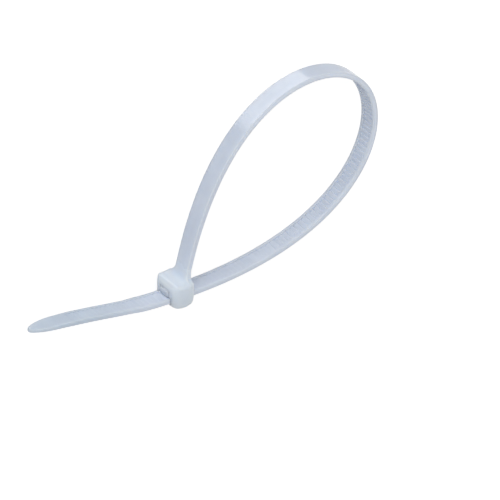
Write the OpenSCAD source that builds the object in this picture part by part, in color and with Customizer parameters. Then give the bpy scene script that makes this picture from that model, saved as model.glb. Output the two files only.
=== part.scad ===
// Self-locking cable tie, closed into a loop and lying on its side.
// X runs along the slot, from the side where the tail leaves to the side where the loop enters.
// Y points from the slot to the root of the strap. Z is up, across the strap.
// The origin is on the slot's centre line, on the surface that the head lies on.

/* [Head] */
// Length of the head along the slot
head_t = 5.5; // [4.5:0.1:8]
// Length of the head along the strap that grows out of it
head_l = 6.5; // [6:0.1:9]
// Width of the head across the strap
head_w = 8.4; // [7.5:0.1:12]
// Distance from the slot's centre to the closed end of the head
end_reach = 2.5; // [2.2:0.1:3.2]
// Rounding of the edge between the closed end and the side where the tail leaves
exit_r = 2.4; // [0.6:0.1:2.6]
// Rounding of the two edges beside the side where the tail leaves
side_r = 2.1; // [0.6:0.1:2.6]
// Rounding of the sides where the loop enters
entry_r = 0.45; // [0.2:0.05:1]
// Rounding of the closed end
end_r = 1.9; // [0.4:0.1:2.2]
// Rounding of the corners beside the strap's root
root_r = 0.3; // [0.2:0.1:1]
// Bevel between the root face and the face where the tail leaves
bevel = 1.1; // [0.3:0.1:1.4]

/* [Strap] */
// Width of the strap
strap_w = 4.8; // [4.2:0.1:5]
// Thickness of the strap
strap_t = 1.3; // [1:0.05:1.5]
// Width of the neck where the strap leaves the head
neck_w = 4.5; // [3.3:0.1:4.8]
// Length over which the neck widens to the full strap
neck_l = 30; // [4:1:40]
// Distance of the strap's inner face behind the entry face of the head
root_inset = 0.1; // [0:0.05:0.6]
// Chamfer along the strap's four edges
edge_c = 0.15; // [0.1:0.05:0.3]
// Fillet between the neck and the head
fillet = 0.9; // [0.3:0.1:1.2]

/* [Teeth] */
// Distance between two teeth
pitch = 1.2; // [0.9:0.1:1.6]
// Height of a tooth
tooth_h = 0.3; // [0.2:0.05:0.4]
// Depth of the tooth tips below the rails
tooth_recess = 0.1; // [0.05:0.05:0.2]
// Width of the toothed track between the rails
track_w = 3.2; // [2.4:0.1:3.4]
// Plain stretch between the head and the first tooth
plain_root = 9; // [6:1:20]
// Plain stretch between the last tooth and the tip
plain_tip = 10; // [8:1:20]

/* [Lock] */
// Gap between the strap and the slot, on each side
slot_gap = 0.12; // [0.08:0.02:0.2]
// Gap between the pawl's teeth and the strap's teeth
mesh_gap = 0.08; // [0.05:0.01:0.12]
// Gap between the pawl and the rails, on each side
rail_gap = 0.15; // [0.1:0.05:0.3]
// Thickness of the pawl behind its teeth
pawl_t = 1.5; // [1:0.05:1.6]
// Thickness of the living hinge that carries the pawl
hinge_t = 0.5; // [0.35:0.05:0.6]
// Room behind the pawl's tip, where it springs back
spring_gap = 0.25; // [0.15:0.05:0.4]
// Wall on the entry side that carries the hinge
hinge_wall = 1.15; // [0.8:0.05:1.4]

/* [Loop] */
// Lean of the strap where it leaves the head, in degrees
root_lean = 10.5; // [0:0.5:15]
// Pull of the strap straight out of its root
root_pull = 69; // [50:1:80]
// Pull of the strap straight out of the slot
entry_pull = 76; // [60:1:85]
// Reach of the loop along the slot
loop_x = 59; // [48:1:66]
// Reach of the loop along the root
loop_y = 55.5; // [46:0.5:64]
// Length of the free tail along the slot
tail_x = 36.5; // [28:0.5:60]
// Rise of the tail towards the root side
tail_y = 3.85; // [0:0.05:8]
// Width of the narrower part of the tail
tail_w = 4.3; // [3.6:0.1:4.8]
// Length of the tail that keeps the full width
tail_full = 7; // [2:0.5:20]
// Length of the rounded tip
tip_l = 5; // [4:0.5:8]
// Width of the tip's blunt end
tip_w = 0.5; // [0.4:0.1:2]
// Thickness of the strap at the tip
tip_t = 0.8; // [0.6:0.05:1]

/* [Hidden] */

nylon = [0.80, 0.84, 0.89];
mid_z = head_w / 2;
exit_x = -head_t / 2;
entry_x = head_t / 2;
root_y = head_l - end_reach;
root_x = entry_x - root_inset - strap_t / 2;
slot_y = strap_t / 2 + slot_gap;
slot_w = strap_w + 2 * slot_gap;
lead_in = 0.3;
// How far a cutting shape runs past what it cuts
overrun = 1;
arc_steps = 6;
ring_step = 1.8;
tip_rings = 8;
// Length over which the tail gets narrower
tail_step = 3.5;
// The neck flares out by this much on each side, over this length, where it meets the head
flare = 0.7;
flare_l = 2.4;
flare_rings = 4;

// Centre line of the strap, in the plane of the loop
lean = [sin(root_lean), cos(root_lean)];
root_point = [root_x, root_y];
// How deep the strap's root reaches into the head
root_sink = 1;
// The loop's two middle control points stand apart by these amounts
crown_in = 9.7;
crown_drop = 16.9;
loop_controls = [root_point, root_point + root_pull * lean, [loop_x, loop_y - crown_drop],
    [loop_x - crown_in, loop_y], [entry_x + entry_pull, 0], [entry_x, 0]];
// The tail leaves straight, then bends a little towards the root side
tail_straight = 11.4;
tail_bend_x = 19.9;
tail_bend_y = 3.25;
tail_controls = [[exit_x, 0], [exit_x - tail_straight, 0], [exit_x - tail_bend_x, tail_bend_y],
    [exit_x - tail_x, tail_y]];
loop_samples = 140;
tail_samples = 30;

// A point of the Bezier curve through a list of control points
function bezier(p, t) = len(p) == 1 ? p[0]
    : bezier([for (i = [0:len(p) - 2]) p[i] * (1 - t) + p[i + 1] * t], t);
// Its unit direction
function heading(p, t) = let (d = bezier([for (i = [0:len(p) - 2]) p[i + 1] - p[i]], t)) d / norm(d);
function curve(p, n) = [for (i = [0:n]) concat(bezier(p, i / n), heading(p, i / n))];

path = concat([concat(root_point - root_sink * lean, lean)],
    curve(loop_controls, loop_samples), curve(tail_controls, tail_samples));
function xy(v) = [v[0], v[1]];
// Length along the strap at each point of the path, with zero at the root face
travel = [for (i = 0, s = -root_sink; i < len(path);
    s = s + (i + 1 < len(path) ? norm(xy(path[i + 1]) - xy(path[i])) : 0), i = i + 1) s];
function column(k) = [for (i = [0:len(path) - 1]) [travel[i], path[i][k]]];
x_at = column(0);
y_at = column(1);
dx_at = column(2);
dy_at = column(3);
loop_l = travel[loop_samples + 1];
strap_l = travel[len(travel) - 1];

// A point beside the centre line: s along the strap, d towards the inner, toothed face
function beside(s, d) = let (u = [lookup(s, dx_at), lookup(s, dy_at)], n = u / norm(u))
    [lookup(s, x_at) + d * n[1], lookup(s, y_at) - d * n[0]];

// Width and thickness of the strap along its length
function ease(u) = let (v = max(0, min(1, u))) v * v * (3 - 2 * v);
function tip_u(s) = max(0, (s - strap_l + tip_l) / tip_l);
function body_w(s) = strap_w - (strap_w - tail_w) * ease((s - loop_l - head_t - tail_full) / tail_step);
function flare_w(s) = 2 * flare * pow(1 - max(0, min(1, s / flare_l)), 2);
function width(s) = neck_w + (body_w(s) - neck_w) * ease(s / neck_l) + flare_w(s)
    - (body_w(s) - tip_w) * (1 - sqrt(1 - pow(min(1, tip_u(s)), 2)));
function thickness(s) = strap_t - (strap_t - tip_t) * ease((s - strap_l + 2 * tip_l) / (2 * tip_l));

// Section of the strap: a rectangle with chamfered edges, as eight corners
function ring(s) = let (w = width(s) / 2, t = thickness(s) / 2, c = min(edge_c, 0.8 * t))
    [for (p = [[-t, -w + c], [-t + c, -w], [t - c, -w], [t, -w + c],
               [t, w - c], [t - c, w], [-t + c, w], [-t, w - c]])
        let (q = beside(s, p[0])) [q[0], q[1], mid_z + p[1]]];

body_end = strap_l - tip_l;
body_rings = ceil((body_end - flare_l) / ring_step);
stations = concat([-root_sink], [for (i = [0:flare_rings - 1]) flare_l * i / flare_rings],
    [for (i = [0:body_rings]) flare_l + (body_end - flare_l) * i / body_rings],
    [for (i = [1:tip_rings]) body_end + tip_l * sin(90 * i / tip_rings)]);

module strap_blank() {
    m = 8;
    last = len(stations) - 1;
    points = [for (s = stations) each ring(s)];
    sides = [for (i = [0:last - 1], k = [0:m - 1])
        let (a = i * m + k, b = i * m + (k + 1) % m)
        each [[a, b, b + m], [a, b + m, a + m]]];
    caps = [[for (k = [0:m - 1]) m - 1 - k], [for (k = [0:m - 1]) last * m + k]];
    polyhedron(points, concat(sides, caps));
}

// Teeth are counted from the one that stands against the pawl's tip
pawl_inset = 0.15;
pawl_tip_x = exit_x + pawl_inset;
pawl_s = loop_l + entry_x - pawl_tip_x;
first_tooth = -floor((pawl_s - plain_root) / pitch);
last_tooth = floor((strap_l - plain_tip - pawl_s) / pitch);
tooth_top = strap_t / 2 - tooth_recess;
tooth_base = tooth_top - tooth_h;

// Each tooth rises at once on the side of the root and slopes down towards the tip
module toothed_track() {
    saw = [for (i = [first_tooth:last_tooth - 1])
        each [beside(pawl_s + i * pitch, tooth_top), beside(pawl_s + (i + 1) * pitch, tooth_base)]];
    clear = [for (i = [last_tooth:-1:first_tooth]) beside(pawl_s + i * pitch, strap_t / 2 + overrun)];
    translate([0, 0, mid_z - track_w / 2])
        linear_extrude(track_w)
            polygon(concat(saw, clear));
}

// Fillet between the root face and the outer face of the neck
module root_fillet() {
    foot = [beside(0, -strap_t / 2)[0], root_y];
    arc = [foot - [fillet, 0], foot, beside(fillet, -strap_t / 2)];
    heel = beside(-root_sink, 0);
    translate([0, 0, mid_z - neck_w / 2 + edge_c])
        linear_extrude(neck_w - 2 * edge_c)
            polygon(concat([for (i = [0:arc_steps]) bezier(arc, i / arc_steps)], [beside(fillet, 0), heel,
                [foot[0] - fillet, heel[1]]]));
}

module strap() {
    difference() {
        strap_blank();
        toothed_track();
    }
    root_fillet();
}

// One rounded or bevelled corner of an outline
function corner(cx, cy, r, a, n) = [for (i = [0:n]) [cx + r * cos(a + 90 * i / n), cy + r * sin(a + 90 * i / n)]];
// Outline of a rectangle whose corners have their own radii, from the upper right one round
function outline(x0, y0, x1, y1, r, n) = concat(
    corner(x1 - r[0], y1 - r[0], r[0], 0, n[0]), corner(x0 + r[1], y1 - r[1], r[1], 90, n[1]),
    corner(x0 + r[2], y0 + r[2], r[2], 180, n[2]), corner(x1 - r[3], y0 + r[3], r[3], 270, n[3]));

// The block is what three outlines have in common, seen along each axis, less its two blunt corners
module head_block() {
    round4 = [arc_steps, arc_steps, arc_steps, arc_steps];
    difference() {
        intersection() {
            linear_extrude(head_w)
                polygon(outline(exit_x, -end_reach, entry_x, root_y,
                    [entry_r, bevel, exit_r, entry_r], [arc_steps, 1, arc_steps, arc_steps]));
            translate([exit_x, 0, 0])
                rotate([90, 0, 90])
                    linear_extrude(head_t)
                        polygon(outline(-end_reach, 0, root_y, head_w, [root_r, end_r, end_r, root_r], round4));
            translate([0, root_y, 0])
                rotate([90, 0, 0])
                    linear_extrude(head_l)
                        polygon(outline(exit_x, 0, entry_x, head_w, [entry_r, side_r, side_r, entry_r], round4));
        }
        blunt_corner(1);
        blunt_corner(-1);
    }
}

// Where three roundings meet, a slanted face takes off the point that they leave
blunt_reach = 2.25;
module blunt_corner(side) {
    slant = [-1, -1, side];
    translate([exit_x + exit_r, -end_reach + end_r, mid_z + side * (head_w / 2 - side_r)])
        rotate(a = acos(slant[2] / norm(slant)), v = cross([0, 0, 1], slant))
            translate([-head_w / 2, -head_w / 2, blunt_reach])
                cube([head_w, head_w, overrun]);
}

module slot() {
    translate([0, 0, mid_z - slot_w / 2])
        linear_extrude(slot_w)
            polygon([[exit_x - overrun, -slot_y], [entry_x - lead_in, -slot_y],
                [entry_x + overrun, -slot_y - lead_in - overrun], [entry_x + overrun, slot_y + lead_in + overrun],
                [entry_x - lead_in, slot_y], [exit_x - overrun, slot_y]]);
}

// The hinge is a thin web that joins the pawl to the wall on the entry side
hinge_x = entry_x - hinge_wall;
hinge_lift = 0.25;
hinge_y = slot_y + hinge_lift;
hinge_l = 0.5;
hinge_gap = 0.15;
pawl_w = track_w - 2 * rail_gap;
pawl_back = tooth_top + mesh_gap + pawl_t;
pawl_teeth = floor((hinge_x - hinge_l - pawl_tip_x) / pitch);
pawl_proud = 0.1;
pawl_nose = 0.3;
pawl_level = 1.2;
pocket_gap = 0.15;

module pawl_pocket() {
    pocket_w = pawl_w + 2 * pocket_gap;
    translate([0, 0, mid_z - pocket_w / 2])
        linear_extrude(pocket_w)
            polygon([[exit_x - overrun, 0], [hinge_x, 0], [hinge_x, hinge_y + hinge_t + hinge_gap],
                [hinge_x - hinge_l, hinge_y + hinge_t + 2 * hinge_gap],
                [exit_x + pawl_level, pawl_back + spring_gap], [exit_x - overrun, pawl_back + spring_gap]]);
}

// The pawl's underside is the strap's own tooth line, lifted off it by the mesh gap
module pawl() {
    face_x = pawl_tip_x + mesh_gap;
    valley_y = tooth_base + mesh_gap;
    crest_y = tooth_top + mesh_gap;
    teeth = [for (i = [0:pawl_teeth - 1])
        each [[face_x + i * pitch, valley_y], [face_x + (i + 1) * pitch, crest_y]]];
    translate([0, 0, mid_z - pawl_w / 2])
        linear_extrude(pawl_w)
            polygon(concat(teeth,
                [[hinge_x - hinge_l / 2, hinge_y], [hinge_x + hinge_l, hinge_y],
                [hinge_x + hinge_l, hinge_y + hinge_t], [hinge_x - hinge_l, hinge_y + hinge_t],
                [exit_x + pawl_level, pawl_back], [exit_x + pawl_nose, pawl_back],
                [exit_x - pawl_proud, pawl_back - pawl_nose], [exit_x - pawl_proud, crest_y + pawl_proud],
                [face_x, crest_y]]));
}

module head() {
    difference() {
        head_block();
        slot();
        pawl_pocket();
    }
    pawl();
}

module cable_tie() {
    color(nylon) {
        head();
        strap();
    }
}

cable_tie();
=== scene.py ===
"""Cable tie of natural nylon, closed into a loop and lying on its side.

X runs along the slot, from the side where the tail leaves to the side where the loop enters, Y from the
slot to the root of the strap, and Z is up, across the strap. The whole tie is one moulding, so it is one
closed mesh: the head is the zero surface of a distance field, and the strap is a section carried along
the loop and the tail. Lengths are in metres.
"""

import bmesh
import bpy
import numpy as np
from bpy.props import FloatProperty, FloatVectorProperty, PointerProperty
from mathutils import Matrix, Vector
from mathutils.kdtree import KDTree


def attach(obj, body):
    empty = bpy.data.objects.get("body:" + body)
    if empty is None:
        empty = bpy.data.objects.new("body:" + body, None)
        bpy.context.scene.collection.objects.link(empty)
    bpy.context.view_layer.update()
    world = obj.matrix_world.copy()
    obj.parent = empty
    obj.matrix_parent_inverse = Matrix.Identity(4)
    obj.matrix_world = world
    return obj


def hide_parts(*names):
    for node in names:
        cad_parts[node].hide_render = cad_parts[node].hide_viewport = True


bl_info = {
    "name": "Cable tie",
    "version": (1, 0, 0),
    "blender": (4, 5, 0),
    "location": "3D View > Sidebar > Cable tie",
    "description": "Builds a closed cable tie of translucent nylon with its ratchet head",
    "category": "Add Mesh",
}

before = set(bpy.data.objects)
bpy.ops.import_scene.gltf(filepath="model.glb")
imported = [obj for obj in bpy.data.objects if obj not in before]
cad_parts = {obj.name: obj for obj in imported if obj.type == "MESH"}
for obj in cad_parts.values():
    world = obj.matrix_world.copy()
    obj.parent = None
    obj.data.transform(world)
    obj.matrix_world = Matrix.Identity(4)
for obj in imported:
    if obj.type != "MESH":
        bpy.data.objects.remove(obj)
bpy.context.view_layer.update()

MM = 0.001
NODE = "cable_tie"
BODY = "root"


def length(name, value, description):
    """A length property that is given in millimetres and kept in metres."""
    return FloatProperty(name=name, description=description, default=value * MM, unit="LENGTH", precision=5)


def colour(name, value, description):
    """A linear colour property."""
    return FloatVectorProperty(name=name, description=description, subtype="COLOR", size=3, min=0, max=1,
                               default=value)


def factor(name, value, description):
    """A property between 0 and 1."""
    return FloatProperty(name=name, description=description, default=value, min=0, max=1, subtype="FACTOR")


class TIE_PG_head(bpy.types.PropertyGroup):
    """Sizes of the head and its lock."""

    depth: length("Depth", 5.5, "Length of the head along the slot")
    reach_root: length("Reach to the root", 4, "From the slot's centre to the root face")
    reach_end: length("Reach to the end", 2.5, "From the slot's centre to the closed end")
    width: length("Width", 8.4, "Width of the head across the strap")
    exit_radius: length("Exit rounding", 2.4, "Rounding between the closed end and the exit face")
    side_radius: length("Side rounding", 2.1, "Rounding of the two edges beside the exit face")
    entry_radius: length("Entry rounding", 0.45, "Rounding of the sides where the loop enters")
    end_radius: length("End rounding", 1.9, "Rounding of the closed end")
    root_radius: length("Root rounding", 0.8, "Rounding of the corners beside the strap's root")
    bevel: length("Bevel", 1.1, "Bevel between the root face and the exit face")
    softness: length("Softness", 0.35, "How far the edges between two faces are softened")
    blunt_reach: length("Blunt corner reach", 2.3, "How far the corners beside the exit stand out")
    blunt_cut: length("Blunt corner cut", 1.7, "How much is cut off the corners beside the entry")
    slot_gap: length("Slot gap", 0.12, "Gap between the strap and the slot")
    side_gap: length("Side gap", 0.06, "Gap between the strap's edges and the slot")
    mesh_gap: length("Mesh gap", 0.08, "Gap between the pawl's teeth and the strap's teeth")
    pawl_thickness: length("Pawl thickness", 1.5, "Thickness of the pawl behind its teeth")
    spring_gap: length("Spring gap", 0.16, "Room behind the pawl's tip")
    hinge_thickness: length("Hinge thickness", 0.5, "Thickness of the pawl's hinge")
    hinge_wall: length("Hinge wall", 1.15, "Wall that carries the hinge")


class TIE_PG_strap(bpy.types.PropertyGroup):
    """Sizes of the strap and its teeth."""

    width: length("Width", 4.8, "Width of the strap")
    thickness: length("Thickness", 1.3, "Thickness of the strap")
    neck_width: length("Neck width", 4.5, "Width of the strap at its root")
    neck_length: length("Neck length", 30, "Length over which the neck widens")
    flare: length("Flare", 0.7, "How far the neck widens on each side where it meets the head")
    flare_length: length("Flare length", 2.4, "Length of the neck over which it widens to the head")
    tail_width: length("Tail width", 4.3, "Width of the narrower part of the tail")
    tail_full: length("Full tail", 7, "Length of the tail that keeps the full width")
    tail_step: length("Tail step", 3.5, "Length over which the tail gets narrower")
    edge_radius: length("Edge rounding", 0.18, "Rounding of the strap's four edges")
    pitch: length("Pitch", 1.2, "Distance between two teeth")
    tooth_height: length("Tooth height", 0.2, "Height of a tooth")
    tooth_recess: length("Tooth recess", 0.08, "Depth of the tooth tips below the rails")
    track_width: length("Track width", 3.2, "Width of the toothed track between the rails")
    plain_root: length("Plain root", 9, "Plain stretch before the first tooth")
    plain_tip: length("Plain tip", 10, "Plain stretch after the last tooth")
    tip_length: length("Tip length", 6.5, "Length of the rounded tip")
    tip_point: factor("Tip point", 0.65, "How pointed the tip is, where 0.5 gives half an ellipse")
    tip_width: length("Tip width", 0.5, "Width of the tip's blunt end")
    tip_thickness: length("Tip thickness", 0.8, "Thickness of the strap at its tip")
    root_inset: length("Root inset", 0.1, "Distance of the strap behind the entry face")


class TIE_PG_nylon(bpy.types.PropertyGroup):
    """Finish of the moulded nylon."""

    strap: colour("Strap", (0.665, 0.735, 0.865), "Colour of the thin strap")
    # Painted light: the head is coloured lighter than the strap, though it is the same nylon.
    head: colour("Head", (0.745, 0.825, 0.985), "Colour of the thick head, which lets less light through")
    # Painted shade: the free tail is coloured darker than the strap, though it is the same nylon.
    tail: colour("Tail", (0.57, 0.66, 0.78), "Colour of the free tail, the clearest part")
    cloud: factor("Clouds", 0.06, "How much darker the clearer spots in the nylon are")
    polish: factor("Polished roughness", 0.12, "Roughness of the strap's smooth faces")
    satin: factor("Satin roughness", 0.32, "Roughness of the head")
    matte: factor("Track roughness", 0.45, "Roughness of the toothed face")
    haze: length("Haze depth", 2.2, "How far light spreads inside the nylon")


class TIE_PG_stage(bpy.types.PropertyGroup):
    """Camera, floor and light."""

    distance: FloatProperty(name="Camera distance", description="From the picture's middle to the camera",
                            default=1.198, unit="LENGTH")
    lens: FloatProperty(name="Focal length", description="Focal length of the camera in mm", default=384.0)
    sky: factor("Sky", 0.59, "Brightness of the white room, as far as it lights the tie")
    white: factor("White", 0.95, "Brightness of the white room where the camera or a reflection sees it")
    key: FloatProperty(name="Key light", description="Brightness of the large soft box above the root face",
                       default=1.85, min=0)
    back: FloatProperty(name="Back light", description="Brightness of the box that the crown mirrors",
                        default=2.6, min=0)
    edge: FloatProperty(name="Edge light", description="Brightness of the box that the crown's edge mirrors",
                        default=2.6, min=0)
    glow: factor("Floor glow", 0.7, "How bright the floor shows by itself")


# Control points of the strap's curve, with the tail's points in millimetres from the exit
ROOT_LEAN = np.radians(10.5)
ROOT_SINK = 1.0 * MM
ROOT_PULL = 69 * MM
ENTRY_PULL = 76 * MM
CROWN = (59 * MM, 55.5 * MM)
CROWN_IN = 9.7 * MM
CROWN_DROP = 16.9 * MM
TAIL_POINTS = ((0, 0), (-11.4, 0), (-19.9, 3.25), (-36.5, 3.85))
LOOP_SAMPLES = 1400
TAIL_SAMPLES = 300
TIP_RINGS = 28

# Small fixed sizes of the lock
PAWL_INSET = 0.15 * MM
PAWL_SIDE_GAP = 0.15 * MM
SLOT_FUNNEL = 0.3 * MM
SLOT_CORNER = 0.15 * MM
SLOT_RIM = 0.1 * MM
LOCK_EDGE = 0.12 * MM
HINGE_WELD = 0.05 * MM

# How far two faces of the head are blended into each other
SHARP_CORNER = 0.1 * MM
BEVEL_BLEND = 0.3 * MM
FACE_BLEND = 0.15 * MM
BLUNT_BLEND = 1.2 * MM
CUT_BLEND = 1.0 * MM
INNER_FILLET = 0.9 * MM
OUTER_FILLET = 2.0 * MM

# Texture scales per metre, depth of the bumps, and how nylon bends and spreads light
CLOUD_SCALE = 260
GRAIN_SCALE = 4200
STREAK_SCALE = (60, 900, 900)
BUMP_DEPTH = 0.015 * MM
NYLON_IOR = 1.53
NYLON_SPREAD = (1.0, 0.92, 0.84)

# Directions of the camera in the tie's frame, and how far the picture's middle is from the origin
CAMERA_RIGHT = Vector((0.816, 0.034, 0.577))
CAMERA_BACK = Vector((-0.502, 0.537, 0.678))
CAMERA_TARGET_OFFSET = (-17.07 * MM, -9.73 * MM)

# White floor
FLOOR_HALF = 2.0
FLOOR_COLOUR = (0.6, 0.6, 0.6, 1)

# Large soft box that the root face looks at
KEY_PLACE = (-0.29, 0.65, 0.24)
KEY_SIZE = (0.7, 0.5)

# Soft box that shows in reflections only, where the crown's outer face mirrors it
CROWN_FACE = (26 * MM, 43 * MM)
BACK_WAY = (-0.027, 0.41, -0.44)
BACK_SIZE = (0.652, 0.21)

# Small soft box that shows in reflections only, where the crown's edge mirrors it
CROWN_EDGE = (39 * MM, 44 * MM)
EDGE_PLACE = (0.189, -0.117, 0.21)
EDGE_SIZE = (0.05, 0.045)


def bezier(points, t):
    """Point on the Bezier curve through control points: repeated linear mixing of neighbours by t."""
    layer = [np.asarray(p, float)[None, :] * np.ones((len(t), 1)) for p in points]
    t = t[:, None]
    while len(layer) > 1:
        layer = [a * (1 - t) + b * t for a, b in zip(layer, layer[1:])]
    return layer[0]


def bezier_heading(points, t):
    """Unit direction of the same curve: the Bezier curve of the differences, made one long."""
    points = np.asarray(points, float)
    d = bezier(points[1:] - points[:-1], t)
    return d / np.linalg.norm(d, axis=1)[:, None]


def ease(u):
    """Smooth step from 0 to 1: 3u^2 - 2u^3 on the clamped value."""
    u = np.clip(u, 0, 1)
    return u * u * (3 - 2 * u)


class StrapPath:
    """Centre line of the strap and its section sizes, as functions of the travel s from the root face."""

    def __init__(self, strap, head):
        self.strap = strap
        entry = head.depth / 2
        root = np.array([entry - strap.root_inset - strap.thickness / 2, head.reach_root])
        lean = np.array([np.sin(ROOT_LEAN), np.cos(ROOT_LEAN)])
        loop = [root, root + ROOT_PULL * lean, (CROWN[0], CROWN[1] - CROWN_DROP),
                (CROWN[0] - CROWN_IN, CROWN[1]), (entry + ENTRY_PULL, 0), (entry, 0)]
        tail = [(-entry + x * MM, y * MM) for x, y in TAIL_POINTS]
        t_loop = np.linspace(0, 1, LOOP_SAMPLES + 1)
        t_tail = np.linspace(0, 1, TAIL_SAMPLES + 1)
        self.points = np.vstack([root - ROOT_SINK * lean, bezier(loop, t_loop), bezier(tail, t_tail)])
        self.headings = np.vstack([lean, bezier_heading(loop, t_loop), bezier_heading(tail, t_tail)])
        steps = np.linalg.norm(np.diff(self.points, axis=0), axis=1)
        self.travel = np.concatenate([[0], np.cumsum(steps)]) - ROOT_SINK
        self.loop_length = self.travel[LOOP_SAMPLES + 1]
        self.length = self.travel[-1]
        self.head_depth = head.depth
        self.pawl_travel = self.loop_length + head.depth - PAWL_INSET
        self.first_tooth = -int((self.pawl_travel - strap.plain_root) // strap.pitch)
        self.last_tooth = int((self.length - strap.plain_tip - self.pawl_travel) // strap.pitch)

    def at(self, s):
        """Point and unit direction of the centre line, interpolated along the travel."""
        p = np.stack([np.interp(s, self.travel, self.points[:, k]) for k in (0, 1)], -1)
        u = np.stack([np.interp(s, self.travel, self.headings[:, k]) for k in (0, 1)], -1)
        return p, u / np.linalg.norm(u, axis=-1)[..., None]

    def beside(self, s, d):
        """Point at distance d from the centre line, towards the inner, toothed face."""
        p, u = self.at(s)
        return p + np.stack([u[..., 1], -u[..., 0]], -1) * d[..., None]

    def half_width(self, s):
        """Flared neck, full strap, a tail that steps down to its own width, and a slightly pointed tip."""
        strap = self.strap
        step = self.loop_length + self.head_depth + strap.tail_full
        body = strap.width - (strap.width - strap.tail_width) * ease((s - step) / strap.tail_step)
        tip = np.clip((s - self.length + strap.tip_length) / strap.tip_length, 0, 1)
        wide = strap.neck_width + (body - strap.neck_width) * ease(s / strap.neck_length)
        flare = strap.flare * (1 - np.clip(s / strap.flare_length, 0, 1)) ** 2
        return flare + (wide - (body - strap.tip_width) * (1 - (1 - tip ** 2) ** strap.tip_point)) / 2

    def half_depth(self, s):
        """Half the thickness, thinner over the last two tip lengths."""
        strap = self.strap
        thin = ease((s - self.length + 2 * strap.tip_length) / (2 * strap.tip_length))
        return (strap.thickness - (strap.thickness - strap.tip_thickness) * thin) / 2


def tooth_stations(path, start):
    """Travel and track depth of each ring: five rings to a tooth, and even rings on the plain stretches.

    A tooth rises steeply on the root's side, has a round crest and slopes down to the next one.
    """
    strap = path.strap
    rise, crest, plain = 0.16 * MM, 0.28 * MM, 0.8 * MM
    before_crest, on_crest = 0.02 * MM, 0.01 * MM
    down = np.array([0.4, 0.7])
    deep, high = strap.tooth_recess + strap.tooth_height, strap.tooth_recess
    local = np.concatenate([[-rise / 2, rise / 2, crest], down * strap.pitch])
    depth = np.concatenate([[deep, high + before_crest, high + on_crest], high + down * strap.tooth_height])
    teeth = path.pawl_travel + strap.pitch * np.arange(path.first_tooth, path.last_tooth)
    s = (teeth[:, None] + local[None, :]).ravel()
    k = np.tile(depth, len(teeth))
    k[0] = 0
    end = path.pawl_travel + strap.pitch * path.last_tooth
    before = np.arange(start, s[0] - plain / 2, plain)
    after = np.arange(end + plain, path.length - strap.tip_length, plain)
    tip = path.length - strap.tip_length * (1 - np.sin(np.linspace(0, np.pi / 2, TIP_RINGS)))
    s = np.concatenate([before, s, [end - rise / 2, end + rise / 2], after, tip])
    k = np.concatenate([0 * before, k, [deep, 0], 0 * after, 0 * tip])
    return s, k


def strap_rings(path, start):
    """Rings of the strap: a rounded rectangle whose inner face is sunk between the rails to the tooth line.

    Each ring starts at the middle of the outer face. One half runs round the edge to the middle of the
    track, and the other half is its mirror image. The last rings draw in, so that the tip ends round.
    """
    strap = path.strap
    s, sunk = tooth_stations(path, start)
    end_round = 0.3 * MM
    closing = np.clip((s - path.length + end_round) / end_round, 0, 1)
    inset = 0.8 * end_round * (1 - np.sqrt(1 - closing ** 2))
    w = path.half_width(s) - inset
    t = path.half_depth(s) - 0.9 * inset
    r = np.minimum(strap.edge_radius, 0.7 * np.minimum(t, w))
    half_track = strap.track_width / 2
    lip = 0.07 * MM
    one = np.ones_like(s)
    quarter = np.linspace(0, np.pi / 2, 6)
    d, z = [], []

    def add(depth, across):
        d.append(depth * one)
        z.append(across * one)

    for share in (0, 0.35, 0.7, 0.92):
        add(-t, share * (w - r))
    for a in quarter:
        add(-t + r - r * np.cos(a), w - r + r * np.sin(a))
    add(0, w)
    for a in quarter:
        add(t - r + r * np.sin(a), w - r + r * np.cos(a))
    rail_in = np.minimum(half_track, 0.75 * (w - r))
    add(t, 0.5 * (w - r) + 0.5 * rail_in)
    add(t, rail_in + lip)
    add(t - np.minimum(lip, sunk), rail_in)
    add(t - sunk, rail_in - 0.5 * lip)
    for share in (0.9, 0.6, 0.3):
        add(t - sunk, share * rail_in)
    half_d, half_z = np.stack(d, 1), np.stack(z, 1)
    ring_d = np.concatenate([half_d, (t - sunk)[:, None], half_d[:, :0:-1]], 1)
    ring_z = np.concatenate([half_z, 0 * s[:, None], -half_z[:, :0:-1]], 1)
    xy = path.beside(s[:, None] * np.ones_like(ring_d), ring_d)
    return np.concatenate([xy, ring_z[..., None]], 2)


def grid_faces(rings, around):
    """Quads between neighbouring rings, closed around the section."""
    i, j = np.meshgrid(np.arange(rings - 1), np.arange(around), indexing="ij")
    a = i * around + j
    b = i * around + (j + 1) % around
    return np.stack([a, a + around, b + around, b], -1).reshape(-1, 4)


def smooth_max(a, b, k):
    """Larger of two distances, rounded where they are within k of each other."""
    h = np.maximum(k - np.abs(a - b), 0) / k
    return np.maximum(a, b) + h * h * k / 4


def smooth_min(a, b, k):
    """Smaller of two distances, with a fillet where they are within k of each other."""
    return -smooth_max(-a, -b, k)


def rounded_rectangle(u, v, low, high, radii):
    """Distance to a rectangle whose four corners have their own radii: ++, -+, --, +-."""
    centre = (np.array(low) + high) / 2
    half = (np.array(high) - low) / 2
    u, v = u - centre[0], v - centre[1]
    r = np.where(u > 0, np.where(v > 0, radii[0], radii[3]), np.where(v > 0, radii[1], radii[2]))
    qu, qv = np.abs(u) - half[0] + r, np.abs(v) - half[1] + r
    return np.minimum(np.maximum(qu, qv), 0) + np.hypot(np.maximum(qu, 0), np.maximum(qv, 0)) - r


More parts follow.
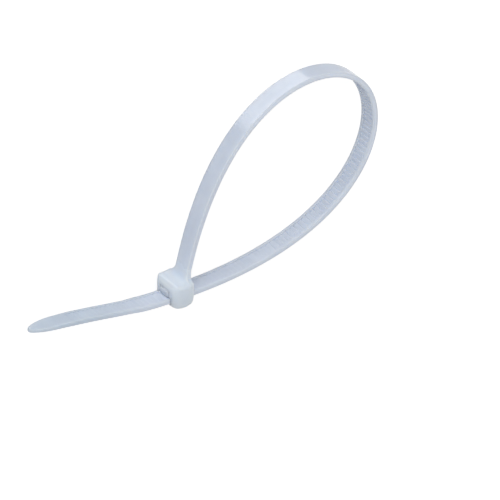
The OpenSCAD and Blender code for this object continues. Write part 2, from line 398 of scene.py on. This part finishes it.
def polygon_distance(x, y, corners):
    """Signed distance to a polygon: the nearest edge, negative where an odd number of edges is crossed."""
    corners = np.asarray(corners, float)
    best = np.full(np.broadcast(x, y).shape, np.inf)
    inside = np.zeros(best.shape, bool)
    for (ax, ay), (bx, by) in zip(corners, np.roll(corners, -1, axis=0)):
        ex, ey = bx - ax, by - ay
        t = np.clip(((x - ax) * ex + (y - ay) * ey) / (ex * ex + ey * ey), 0, 1)
        best = np.minimum(best, np.hypot(x - ax - t * ex, y - ay - t * ey))
        if ey != 0:
            inside ^= ((ay > y) != (by > y)) & (x < ax + (y - ay) * ex / ey)
    return np.where(inside, -best, best)


class HeadField:
    """Distance field of the head, its slot, pocket and pawl, and the strap's neck. z is 0 at mid-width."""

    def __init__(self, head, strap, path, neck_end):
        self.head, self.strap, self.path, self.neck_end = head, strap, path, neck_end
        exit_x, entry_x = -head.depth / 2, head.depth / 2
        slot_y = strap.thickness / 2 + head.slot_gap
        self.slot_half = (slot_y, strap.width / 2 + head.side_gap)
        top = strap.thickness / 2 - strap.tooth_recess
        base = top - strap.tooth_height
        back = top + head.mesh_gap + head.pawl_thickness
        hinge_x = entry_x - head.hinge_wall
        hinge_rise, hinge_l, hinge_gap = 0.25 * MM, 0.5 * MM, 0.15 * MM
        level, nose, proud = 1.2 * MM, 0.3 * MM, 0.1 * MM
        hinge_y = slot_y + hinge_rise
        hinge_top = hinge_y + head.hinge_thickness
        outside = exit_x - 1 * MM
        self.pocket = [(outside, 0), (hinge_x, 0), (hinge_x, hinge_top + hinge_gap),
                       (hinge_x - hinge_l, hinge_top + 2 * hinge_gap),
                       (exit_x + level, back + head.spring_gap), (outside, back + head.spring_gap)]
        tip_x = exit_x + PAWL_INSET
        face = tip_x + head.mesh_gap
        count = int((hinge_x - hinge_l - tip_x) // strap.pitch)
        crest, root = base + head.mesh_gap, top + head.mesh_gap
        teeth = []
        for i in range(count):
            teeth += [(face + i * strap.pitch, crest), (face + (i + 1) * strap.pitch, root)]
        self.pawl = teeth + [(hinge_x - hinge_l / 2, hinge_y), (hinge_x + hinge_l, hinge_y),
                             (hinge_x + hinge_l, hinge_top), (hinge_x - hinge_l, hinge_top),
                             (exit_x + level, back), (exit_x + nose, back), (exit_x - proud, back - nose),
                             (exit_x - proud, root + proud), (face, root)]
        self.pocket_half = strap.track_width / 2
        self.pawl_half = self.pocket_half - PAWL_SIDE_GAP

    def block(self, x, y, z):
        """What three rounded outlines have in common, seen along each axis, with one bevelled edge.

        A slanted plane, blended in, makes each of the closed end's four corners blunt.
        """
        h = self.head
        x0, x1, y0, y1, w = -h.depth / 2, h.depth / 2, -h.reach_end, h.reach_root, h.width / 2
        entry, end, beside, root = h.entry_radius, h.end_radius, h.side_radius, h.root_radius
        side = rounded_rectangle(x, y, (x0, y0), (x1, y1), (entry, SHARP_CORNER, h.exit_radius, entry))
        bevel = (y - y1 - x + x0 + h.bevel) / np.sqrt(2)
        side = smooth_max(side, bevel, BEVEL_BLEND)
        face = rounded_rectangle(y, z, (y0, -w), (y1, w), (root, end, end, root))
        plan = rounded_rectangle(x, z, (x0, -w), (x1, w), (entry, beside, beside, entry))
        solid = smooth_max(smooth_max(side, face, FACE_BLEND), plan, h.softness)
        middle = (x0 + h.exit_radius, y0 + h.end_radius, w - h.side_radius)
        blunt = (middle[0] - x + middle[1] - y + np.abs(z) - middle[2]) / np.sqrt(3) - h.blunt_reach
        solid = smooth_max(solid, blunt, BLUNT_BLEND)
        cut = (x - x1 + y0 - y + np.abs(z) - w + h.blunt_cut) / np.sqrt(3)
        return smooth_max(solid, cut, CUT_BLEND)

    def neck(self, x, y, z):
        """Rounded section of the strap around its centre line, cut off at the neck's end."""
        strap, path = self.strap, self.path
        p = np.stack(np.broadcast_arrays(x, y), -1)
        s = (p - path.points[0]) @ path.headings[0] - ROOT_SINK
        for _ in range(2):
            c, u = path.at(s)
            s = s + ((p - c) * u).sum(-1)
        c, u = path.at(s)
        d = (p[..., 0] - c[..., 0]) * u[..., 1] - (p[..., 1] - c[..., 1]) * u[..., 0]
        w, t, r = path.half_width(np.maximum(s, 0)), strap.thickness / 2, strap.edge_radius
        qd, qz = np.abs(d) - t + r, np.abs(z) - w + r
        body = np.minimum(np.maximum(qd, qz), 0) + np.hypot(np.maximum(qd, 0), np.maximum(qz, 0)) - r
        return np.maximum(np.maximum(body, s - self.neck_end), -ROOT_SINK - s), d

    def __call__(self, x, y, z):
        """The whole field. The neck's fillet is larger on the strap's outer face."""
        solid = self.block(x, y, z)
        funnel = np.maximum(0, x - (self.head.depth / 2 - SLOT_FUNNEL))
        half_y, half_z = self.slot_half
        slot = smooth_max(np.abs(y) - half_y - funnel, np.abs(z) - half_z, SLOT_CORNER)
        solid = smooth_max(solid, -slot, SLOT_RIM)
        pocket = np.maximum(polygon_distance(x, y, self.pocket), np.abs(z) - self.pocket_half)
        solid = smooth_max(solid, -pocket, LOCK_EDGE)
        pawl = smooth_max(polygon_distance(x, y, self.pawl), np.abs(z) - self.pawl_half, LOCK_EDGE)
        solid = smooth_min(solid, pawl, HINGE_WELD)
        neck, d = self.neck(x, y, z)
        outer = ease(-d / (0.6 * MM))
        return smooth_min(solid, neck, INNER_FILLET + (OUTER_FILLET - INNER_FILLET) * outer)


def surface_of(field, low, high, pitch):
    """Closed quad mesh of the field's zero surface.

    Each grid cell that the surface passes through gets one vertex, at the mean of the points where the
    surface crosses the cell's edges. Each crossed grid edge gets one quad, between its four cells. Two
    steps along the field's slope then put each vertex on the surface.
    """
    counts = np.ceil((np.array(high) - low) / pitch).astype(int) + 1
    axes = [low[k] + pitch * np.arange(counts[k]) for k in range(3)]
    value = field(axes[0][:, None, None], axes[1][None, :, None], axes[2][None, None, :])
    value = np.broadcast_to(value, counts)
    inside = value < 0
    cells = counts - 1
    total = np.zeros((*cells, 3))
    hits = np.zeros(cells)
    crossings = []
    for axis in range(3):
        lo = [slice(None)] * 3
        hi = [slice(None)] * 3
        lo[axis], hi[axis] = slice(0, -1), slice(1, None)
        a, b = value[tuple(lo)], value[tuple(hi)]
        cross = inside[tuple(lo)] != inside[tuple(hi)]
        share = np.where(cross, a / np.where(cross, a - b, 1), 0)
        crossings.append((cross, inside[tuple(lo)]))
        others = [k for k in range(3) if k != axis]
        for du in (0, 1):
            for dv in (0, 1):
                part = [slice(None)] * 3
                part[others[0]] = slice(du, du + cells[others[0]])
                part[others[1]] = slice(dv, dv + cells[others[1]])
                c, f = cross[tuple(part)], share[tuple(part)]
                hits += c
                total[..., axis] += np.where(c, f, 0)
                total[..., others[0]] += np.where(c, du, 0)
                total[..., others[1]] += np.where(c, dv, 0)
    used = hits > 0
    number = -np.ones(cells, int)
    number[used] = np.arange(used.sum())
    points = np.array(low) + pitch * (np.argwhere(used) + total[used] / hits[used][:, None])
    quads = []
    for axis, (cross, low_inside) in enumerate(crossings):
        u, v = [k for k in range(3) if k != axis]
        at = np.argwhere(cross)
        keep = (at[:, u] > 0) & (at[:, v] > 0) & (at[:, u] < cells[u]) & (at[:, v] < cells[v])
        at = at[keep]
        flip = low_inside[tuple(at.T)] != (axis == 1)
        corner = []
        for du, dv in ((1, 1), (0, 1), (0, 0), (1, 0)):
            c = at.copy()
            c[:, u] -= du
            c[:, v] -= dv
            corner.append(number[tuple(c.T)])
        q = np.stack(corner, 1)
        quads.append(np.where(flip[:, None], q, q[:, ::-1]))
    step = 0.1 * pitch
    for _ in range(2):
        x, y, z = points.T
        slope = np.stack([field(x + step, y, z) - field(x - step, y, z),
                          field(x, y + step, z) - field(x, y - step, z),
                          field(x, y, z + step) - field(x, y, z - step)], 1) / (2 * step)
        size = np.maximum((slope ** 2).sum(1), 0.25)
        move = -(field(x, y, z) / size)[:, None] * slope
        points = points + np.clip(move, -0.4 * pitch, 0.4 * pitch)
    return points, np.vstack(quads)


def mesh_from(name, points, faces):
    """New mesh object from arrays of points and faces."""
    mesh = bpy.data.meshes.new(name)
    mesh.from_pydata(points.tolist(), [], faces if isinstance(faces, list) else faces.tolist())
    mesh.update()
    obj = bpy.data.objects.new(name, mesh)
    bpy.context.scene.collection.objects.link(obj)
    return obj


def join_neck(head_part, strap_part, path, cut):
    """One closed mesh: the head's neck is cut square, and a band joins it to the strap's first ring."""
    bm = bmesh.new()
    bm.from_mesh(head_part.data)
    point, heading = path.at(np.array([cut]))
    middle = Vector((point[0][0], point[0][1], strap_part["mid_z"]))
    normal = Vector((heading[0][0], heading[0][1], 0))
    everything = bm.verts[:] + bm.edges[:] + bm.faces[:]
    bmesh.ops.bisect_plane(bm, geom=everything, plane_co=middle, plane_no=normal, clear_outer=True)
    bm.from_mesh(strap_part.data)
    open_edges = [e for e in bm.edges if e.is_boundary]
    bmesh.ops.bridge_loops(bm, edges=open_edges)
    bmesh.ops.recalc_face_normals(bm, faces=bm.faces)
    bm.to_mesh(head_part.data)
    bm.free()
    bpy.data.objects.remove(strap_part)


class TIE_OT_moulding(bpy.types.Operator):
    """Builds the head and the strap as one closed moulding."""

    bl_idname = "tie.moulding"
    bl_label = "Moulding"

    def execute(self, context):
        head, strap = context.scene.tie_head, context.scene.tie_strap
        path = StrapPath(strap, head)
        mid_z = head.width / 2
        grid, margin, room = 0.1 * MM, 0.25 * MM, 1.2 * MM
        join_at, overlap, band = 3 * MM, 0.5 * MM, 0.06 * MM
        field = HeadField(head, strap, path, join_at + overlap)
        low = (-head.depth / 2 - margin, -head.reach_end - margin, -head.width / 2 - margin)
        high = (head.depth / 2 + margin, head.reach_root + join_at + room, head.width / 2 + margin)
        points, quads = surface_of(field, low, high, grid)
        body = mesh_from("tie_moulding", points + [0, 0, mid_z], quads)
        rings = strap_rings(path, join_at)
        n, m = rings.shape[:2]
        last = np.arange((n - 1) * m, n * m)
        tip = np.stack([last, np.roll(last, -1), 0 * last + n * m], 1)
        points = np.vstack([rings.reshape(-1, 3), rings[-1].mean(0)])
        faces = grid_faces(n, m).tolist() + tip.tolist()
        blade = mesh_from("strap_part", points + [0, 0, mid_z], faces)
        blade["mid_z"] = mid_z
        join_neck(body, blade, path, join_at - band)
        body.data.shade_smooth()
        body.data.set_sharp_from_angle(angle=np.radians(38))
        mark_surface(body, path, field, mid_z)
        body.data.materials.append(nylon_material(context.scene.tie_nylon))
        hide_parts(NODE)
        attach(body, BODY)
        return {"FINISHED"}


def mark_surface(body, path, field, mid_z):
    """Writes what the finish reads at each point of the moulding.

    flow is the travel along the strap, the offset towards the toothed face and the height above mid-width.
    strap is 0 in the head and 1 a little way out of it, and sets the roughness and the head's painted light.
    toothed is 1 on the strap's inner face. tail rises from 0 to 1 along the free tail, and sets the painted
    shade there.
    """
    mesh = body.data
    head_fade, root_fade, tail_shade_fade = 1.5 * MM, 8 * MM, 25 * MM
    track_start, track_fade = 0.05 * MM, 0.3 * MM
    places = np.empty(3 * len(mesh.vertices))
    mesh.vertices.foreach_get("co", places)
    places = places.reshape(-1, 3) - [0, 0, mid_z]
    tree = KDTree(len(path.points))
    for i, (x, y) in enumerate(path.points):
        tree.insert((x, y, 0), i)
    tree.balance()
    nearest = np.array([tree.find((x, y, 0))[1] for x, y, _ in places])
    away = places[:, :2] - path.points[nearest]
    along = path.headings[nearest]
    s = path.travel[nearest] + (away * along).sum(1)
    d = away[:, 0] * along[:, 1] - away[:, 1] * along[:, 0]
    # strap also picks the head's lighter colour, which is painted light.
    strap = ease(field.block(*places.T) / head_fade) * ease(s / root_fade)
    toothed = strap * ease((d + track_start) / track_fade)
    # tail fades in the free tail's darker colour, which is painted shade.
    tail = strap * ease((s - path.loop_length - path.head_depth) / tail_shade_fade)
    flow = mesh.attributes.new("flow", "FLOAT_VECTOR", "POINT")
    flow.data.foreach_set("vector", np.stack([s, d, places[:, 2]], 1).ravel())
    for name, values in (("strap", strap), ("toothed", toothed), ("tail", tail)):
        mesh.attributes.new(name, "FLOAT", "POINT").data.foreach_set("value", values)


def add_node(tree, kind, inputs=None, **settings):
    """New node with its settings. An input that is a socket is linked, and any other is set as a value."""
    node = tree.nodes.new(kind)
    for name, value in settings.items():
        setattr(node, name, value)
    for name, value in (inputs or {}).items():
        if isinstance(value, bpy.types.NodeSocket):
            tree.links.new(value, node.inputs[name])
        else:
            node.inputs[name].default_value = value
    return node


def noise(tree, vector, scale, detail):
    """Value of a noise texture."""
    inputs = {"Vector": vector, "Scale": scale, "Detail": detail}
    return add_node(tree, "ShaderNodeTexNoise", inputs).outputs["Fac"]


def calculate(tree, operation, a, b):
    """A value worked out from two others."""
    return add_node(tree, "ShaderNodeMath", {0: a, 1: b}, operation=operation).outputs[0]


def remap(tree, value, low, high, to_low, to_high):
    """A value moved from one range to another and kept inside it."""
    inputs = {"Value": value, "From Min": low, "From Max": high, "To Min": to_low, "To Max": to_high}
    return add_node(tree, "ShaderNodeMapRange", inputs).outputs["Result"]


def mix_colour(tree, share, a, b):
    """A colour between two others."""
    return add_node(tree, "ShaderNodeMix", {0: share, 6: a, 7: b}, data_type="RGBA").outputs[2]


def attribute(tree, name, output):
    """One of the surface marks."""
    return add_node(tree, "ShaderNodeAttribute", attribute_name=name).outputs[output]


def nylon_material(finish):
    """Translucent natural nylon.

    The colour is slightly cloudy, with faint streaks along the strap. The head is coloured lighter, as
    painted light, and the free tail darker, as painted shade. The strap's smooth faces are polished, the
    head is satin and the toothed face is dull, and a fine grain lies over all of them.
    """
    material = bpy.data.materials.new("natural_nylon")
    material.use_nodes = True
    tree = material.node_tree
    shader = tree.nodes["Principled BSDF"]
    place = add_node(tree, "ShaderNodeTexCoord").outputs["Object"]
    flow = attribute(tree, "flow", "Vector")
    strap = attribute(tree, "strap", "Fac")
    toothed = attribute(tree, "toothed", "Fac")
    stretched = add_node(tree, "ShaderNodeMapping", {"Vector": flow, "Scale": STREAK_SCALE})
    cloud = noise(tree, place, CLOUD_SCALE, 3)
    streak = calculate(tree, "MULTIPLY", noise(tree, stretched.outputs["Vector"], 1, 2), strap)
    grain = noise(tree, place, GRAIN_SCALE, 3)
    # Painted light and shade: the head mixes in a lighter colour and the free tail a darker one.
    tint_with_painted_light = mix_colour(tree, strap, (*finish.head, 1), (*finish.strap, 1))
    tint_with_painted_light = mix_colour(tree, attribute(tree, "tail", "Fac"), tint_with_painted_light, (*finish.tail, 1))
    spots = calculate(tree, "ADD", cloud, calculate(tree, "MULTIPLY", streak, 0.4))
    spots = remap(tree, spots, 0.4, 0.95, 0, finish.cloud)
    tint_with_painted_light = mix_colour(tree, spots, tint_with_painted_light, (0, 0, 0, 1))
    smooth = remap(tree, strap, 0, 1, finish.satin, finish.polish)
    rough = add_node(tree, "ShaderNodeMix", {0: toothed, 2: smooth, 3: finish.matte}).outputs[0]
    rough = calculate(tree, "ADD", rough, remap(tree, cloud, 0.3, 0.7, -0.03, 0.05))
    height = calculate(tree, "MULTIPLY", grain, 0.4)
    height = calculate(tree, "ADD", height, calculate(tree, "MULTIPLY", streak, 0.6))
    bump = add_node(tree, "ShaderNodeBump", {"Height": height, "Strength": 0.25, "Distance": BUMP_DEPTH})
    tree.links.new(tint_with_painted_light, shader.inputs["Base Color"])
    tree.links.new(rough, shader.inputs["Roughness"])
    tree.links.new(bump.outputs["Normal"], shader.inputs["Normal"])
    shader.inputs["IOR"].default_value = NYLON_IOR
    shader.inputs["Subsurface Weight"].default_value = 1
    shader.inputs["Subsurface Radius"].default_value = NYLON_SPREAD
    shader.inputs["Subsurface Scale"].default_value = finish.haze
    return material


def aim_camera(stage, mid_z):
    """Camera from three axes and the place of the tie's origin in its view."""
    back = CAMERA_BACK.normalized()
    right = (CAMERA_RIGHT - CAMERA_RIGHT.dot(back) * back).normalized()
    up = back.cross(right)
    centre = Vector((0, 0, mid_z))
    place = centre - right * CAMERA_TARGET_OFFSET[0] - up * CAMERA_TARGET_OFFSET[1] + back * stage.distance
    data = bpy.data.cameras.new("camera")
    data.lens = stage.lens
    data.sensor_width = 36
    data.clip_start, data.clip_end = 0.01, 20
    camera = bpy.data.objects.new("camera", data)
    bpy.context.scene.collection.objects.link(camera)
    camera.matrix_world = Matrix.Translation(place) @ Matrix((right, up, back)).transposed().to_4x4()
    bpy.context.scene.camera = camera


def seen(tree):
    """1 for rays of the camera and for mirrored and transmitted ones, 0 for those that carry the light."""
    path = tree.nodes.new("ShaderNodeLightPath")
    mirrored = calculate(tree, "MAXIMUM", path.outputs["Is Glossy Ray"], path.outputs["Is Transmission Ray"])
    return calculate(tree, "MAXIMUM", path.outputs["Is Camera Ray"], mirrored)


def white_room(stage):
    """World that is white where it is seen and lights the tie softly from all sides."""
    world = bpy.data.worlds.new("white_room")
    world.use_nodes = True
    tree = world.node_tree
    background = tree.nodes["Background"]
    background.inputs["Color"].default_value = (1, 1, 1, 1)
    tree.links.new(remap(tree, seen(tree), 0, 1, stage.sky, stage.white), background.inputs["Strength"])
    return world


def floor_material(stage):
    """White floor that keeps the tie's shadow: it glows a little where it is seen."""
    material = bpy.data.materials.new("white_floor")
    material.use_nodes = True
    tree = material.node_tree
    shader = tree.nodes["Principled BSDF"]
    shader.inputs["Base Color"].default_value = FLOOR_COLOUR
    shader.inputs["Roughness"].default_value = 0.9
    shader.inputs["Specular IOR Level"].default_value = 0.1
    shader.inputs["Emission Color"].default_value = (1, 1, 1, 1)
    tree.links.new(calculate(tree, "MULTIPLY", seen(tree), stage.glow), shader.inputs["Emission Strength"])
    return material


def soft_box(name, middle, target, size, radiance):
    """Rectangular light that faces a point. Its power follows from its brightness and its area."""
    data = bpy.data.lights.new(name, "AREA")
    data.shape = "RECTANGLE"
    data.size, data.size_y = size
    data.energy = np.pi * size[0] * size[1] * radiance
    light = bpy.data.objects.new(name, data)
    bpy.context.scene.collection.objects.link(light)
    back = (Vector(middle) - Vector(target)).normalized()
    side = (Vector((1, 0, 0)) - back.x * back).normalized()
    turn = Matrix((side, back.cross(side), back)).transposed().to_4x4()
    light.matrix_world = Matrix.Translation(middle) @ turn
    light.visible_camera = False
    light.visible_transmission = False
    return light


class TIE_OT_stage(bpy.types.Operator):
    """Sets the camera, the white floor and the lights."""

    bl_idname = "tie.stage"
    bl_label = "Stage"

    def execute(self, context):
        stage = context.scene.tie_stage
        mid_z = context.scene.tie_head.width / 2
        aim_camera(stage, mid_z)
        context.scene.world = white_room(stage)
        corners = FLOOR_HALF * np.array([(-1, -1, 0), (1, -1, 0), (1, 1, 0), (-1, 1, 0)])
        floor = mesh_from("floor", corners, [[0, 1, 2, 3]])
        floor.data.materials.append(floor_material(stage))
        floor.visible_glossy = False
        floor.visible_shadow = False
        key = soft_box("key_light", KEY_PLACE, (0, 0, mid_z), KEY_SIZE, stage.key)
        key.visible_glossy = False
        crown = Vector((*CROWN_FACE, mid_z))
        shine = soft_box("crown_light", crown + Vector(BACK_WAY), crown, BACK_SIZE, stage.back)
        glint = soft_box("edge_light", EDGE_PLACE, (*CROWN_EDGE, mid_z), EDGE_SIZE, stage.edge)
        for light in (shine, glint):
            light.visible_diffuse = False
            light.visible_volume_scatter = False
        context.scene.view_settings.view_transform = "Standard"
        return {"FINISHED"}


class TIE_PT_panel(bpy.types.Panel):
    """Lists the sizes and the steps."""

    bl_idname = "TIE_PT_panel"
    bl_label = "Cable tie"
    bl_space_type = "VIEW_3D"
    bl_region_type = "UI"
    bl_category = "Cable tie"

    def draw(self, context):
        for group in (context.scene.tie_head, context.scene.tie_strap, context.scene.tie_nylon,
                      context.scene.tie_stage):
            box = self.layout.box()
            for name in group.__annotations__:
                box.prop(group, name)
        self.layout.operator(TIE_OT_moulding.bl_idname)
        self.layout.operator(TIE_OT_stage.bl_idname)


CLASSES = (TIE_PG_head, TIE_PG_strap, TIE_PG_nylon, TIE_PG_stage, TIE_OT_moulding, TIE_OT_stage,
           TIE_PT_panel)


def register():
    """Registers the classes and hangs the property groups on the scene."""
    for cls in CLASSES:
        bpy.utils.register_class(cls)
    bpy.types.Scene.tie_head = PointerProperty(type=TIE_PG_head)
    bpy.types.Scene.tie_strap = PointerProperty(type=TIE_PG_strap)
    bpy.types.Scene.tie_nylon = PointerProperty(type=TIE_PG_nylon)
    bpy.types.Scene.tie_stage = PointerProperty(type=TIE_PG_stage)


def unregister():
    """Takes the property groups and the classes away again."""
    del bpy.types.Scene.tie_head
    del bpy.types.Scene.tie_strap
    del bpy.types.Scene.tie_nylon
    del bpy.types.Scene.tie_stage
    for cls in reversed(CLASSES):
        bpy.utils.unregister_class(cls)


def main():
    """Builds the tie and its stage."""
    register()
    bpy.ops.tie.moulding()
    bpy.ops.tie.stage()


if __name__ == "__main__":
    main()
